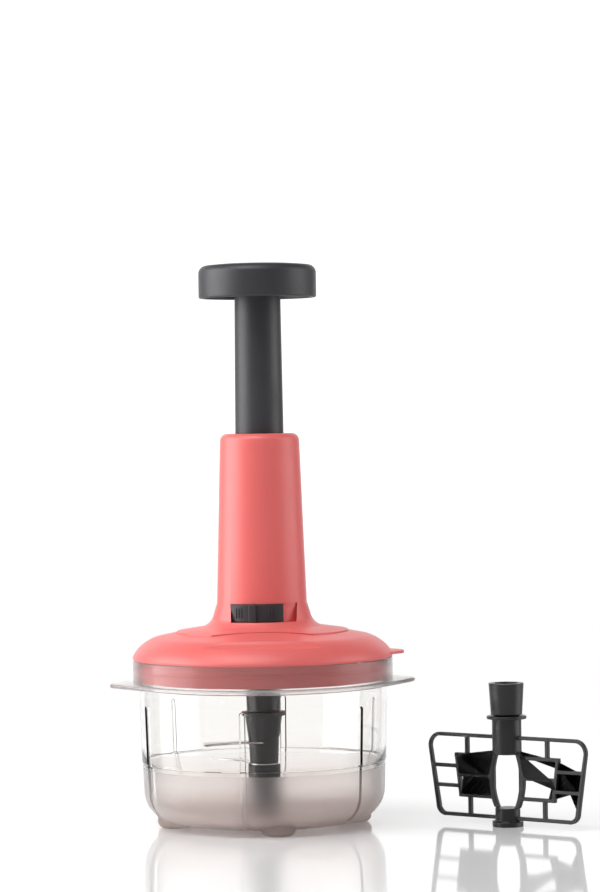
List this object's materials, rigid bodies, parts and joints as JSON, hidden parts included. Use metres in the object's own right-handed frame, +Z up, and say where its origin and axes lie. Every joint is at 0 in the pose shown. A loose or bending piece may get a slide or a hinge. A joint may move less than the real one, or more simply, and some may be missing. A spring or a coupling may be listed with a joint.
{
  "type": "plunger food chopper",
  "caption": "Hand food chopper: a push knob turns blades in a clear bowl through a spiral shaft; domed lid with slide lock and a separate lattice whisk.",
  "frame": {"origin": "on the table, under the middle of the whole set: the chopper stands 40.7 mm to the left of it and the whisk to the right", "axes": "+Z up, -Y towards the front with the lock, +X from the chopper towards the whisk"},
  "size_m": [0.2344, 0.132, 0.2816],
  "materials": {
    "bowl_clear": "clear",
    "coral_plastic": "satin",
    "dark_plastic": "satin",
    "black_plastic": "satin",
    "white_plastic": "natural acetal",
    "steel": "ground",
    "brass": "turned",
    "seal_rubber": "matte"
  },
  "bodies": {
    "bowl": {"bowl": "bowl_clear", "bowl_feet": "bowl_clear", "pivot_pin": "steel"},
    "lid": {"lid_dome": "coral_plastic", "lid_seal": "seal_rubber", "lid_plate": "coral_plastic", "plate_screws": "steel", "tower_screws": "steel", "tower_shell": "coral_plastic", "guide_bush": "white_plastic", "bearing_plate": "white_plastic", "shaft_bush": "brass", "spindle_bush": "brass", "return_spring": "steel"},
    "plunger": {"plunger_tube": "dark_plastic", "cross_pins": "steel", "drive_nut": "white_plastic", "guide_collar": "dark_plastic", "knob_cap": "dark_plastic", "knob_plate": "dark_plastic", "knob_screw": "steel"},
    "spiral": {"spiral_shaft": "steel", "shaft_cap": "white_plastic", "clutch_driver": "steel"},
    "output": {"clutch_cup": "black_plastic", "clutch_rollers": "steel", "output_spindle": "steel", "thrust_washer": "steel"},
    "blades": {"lower_blade": "steel", "middle_blade": "steel", "upper_blade": "steel", "hub_core": "black_plastic", "hub_bush": "white_plastic", "hub_base": "black_plastic", "hub_stem": "black_plastic", "hub_body": "black_plastic", "hub_sleeve": "black_plastic"},
    "lock": {"lock_button": "dark_plastic", "lock_catch": "dark_plastic"},
    "whisk": {"whisk_frame": "black_plastic", "whisk_socket": "black_plastic"}
  },
  "joints": [
    {"name": "lid_lift", "type": "slide", "parent": "bowl", "child": "lid", "axis": [0, 0, 1], "range_m": [0, 0.08]},
    {"name": "plunger_press", "type": "slide", "parent": "lid", "child": "plunger", "axis": [0, 0, -1], "range_m": [0, 0.06], "stiffness_N_per_m": 160, "springref_m": -0.03, "deforming": ["return_spring"]},
    {"name": "spiral_spin", "type": "hinge", "parent": "lid", "child": "spiral", "pos_m": [-0.04072, 0, 0.09], "axis": [0, 0, 1], "range_deg": [0, 864]},
    {"name": "output_spin", "type": "hinge", "parent": "lid", "child": "output", "pos_m": [-0.04072, 0, 0.083], "axis": [0, 0, 1], "range_deg": [0, 864]},
    {"name": "blade_spin", "type": "hinge", "parent": "bowl", "child": "blades", "pos_m": [-0.04072, 0, 0.012], "axis": [0, 0, 1], "range_deg": [0, 864]},
    {"name": "lock_slide", "type": "hinge", "parent": "lid", "child": "lock", "pos_m": [-0.04072, 0, 0.107], "axis": [0, 0, 1], "range_deg": [0, 22]},
    {"name": "whisk_lift", "type": "slide", "parent": "bowl", "child": "whisk", "axis": [0, 0, 1], "range_m": [0, 0.08]}
  ],
  "couplings": [
    {"joint": "spiral_spin", "follows": "plunger_press", "rad_per_m": 251.33},
    {"joint": "output_spin", "follows": "plunger_press", "rad_per_m": 251.33},
    {"joint": "blade_spin", "follows": "plunger_press", "rad_per_m": 251.33}
  ]
}
